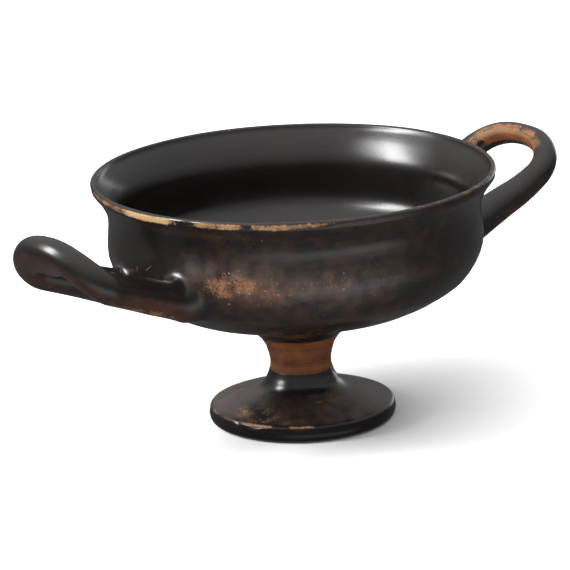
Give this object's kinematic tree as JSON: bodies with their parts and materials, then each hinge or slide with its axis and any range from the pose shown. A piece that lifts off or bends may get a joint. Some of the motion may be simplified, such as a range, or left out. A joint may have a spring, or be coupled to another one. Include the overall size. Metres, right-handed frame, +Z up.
{
  "type": "two-handled stemmed drinking cup",
  "caption": "Wide shallow fired-clay drinking cup with a concave outturned lip, upswept loop handles and a waisted stem on a disc foot, in worn black gloss.",
  "frame": {"origin": "centre of the foot's resting face, on the cup's turning axis", "axes": "+Z up along the turning axis, +X towards one handle, +Y across the handles"},
  "size_m": [0.2822, 0.179, 0.1134],
  "materials": {
    "black_gloss_pottery": "worn black gloss slip on orange clay"
  },
  "bodies": {
    "root": {"kylix_cup": "black_gloss_pottery"}
  },
  "joints": []
}
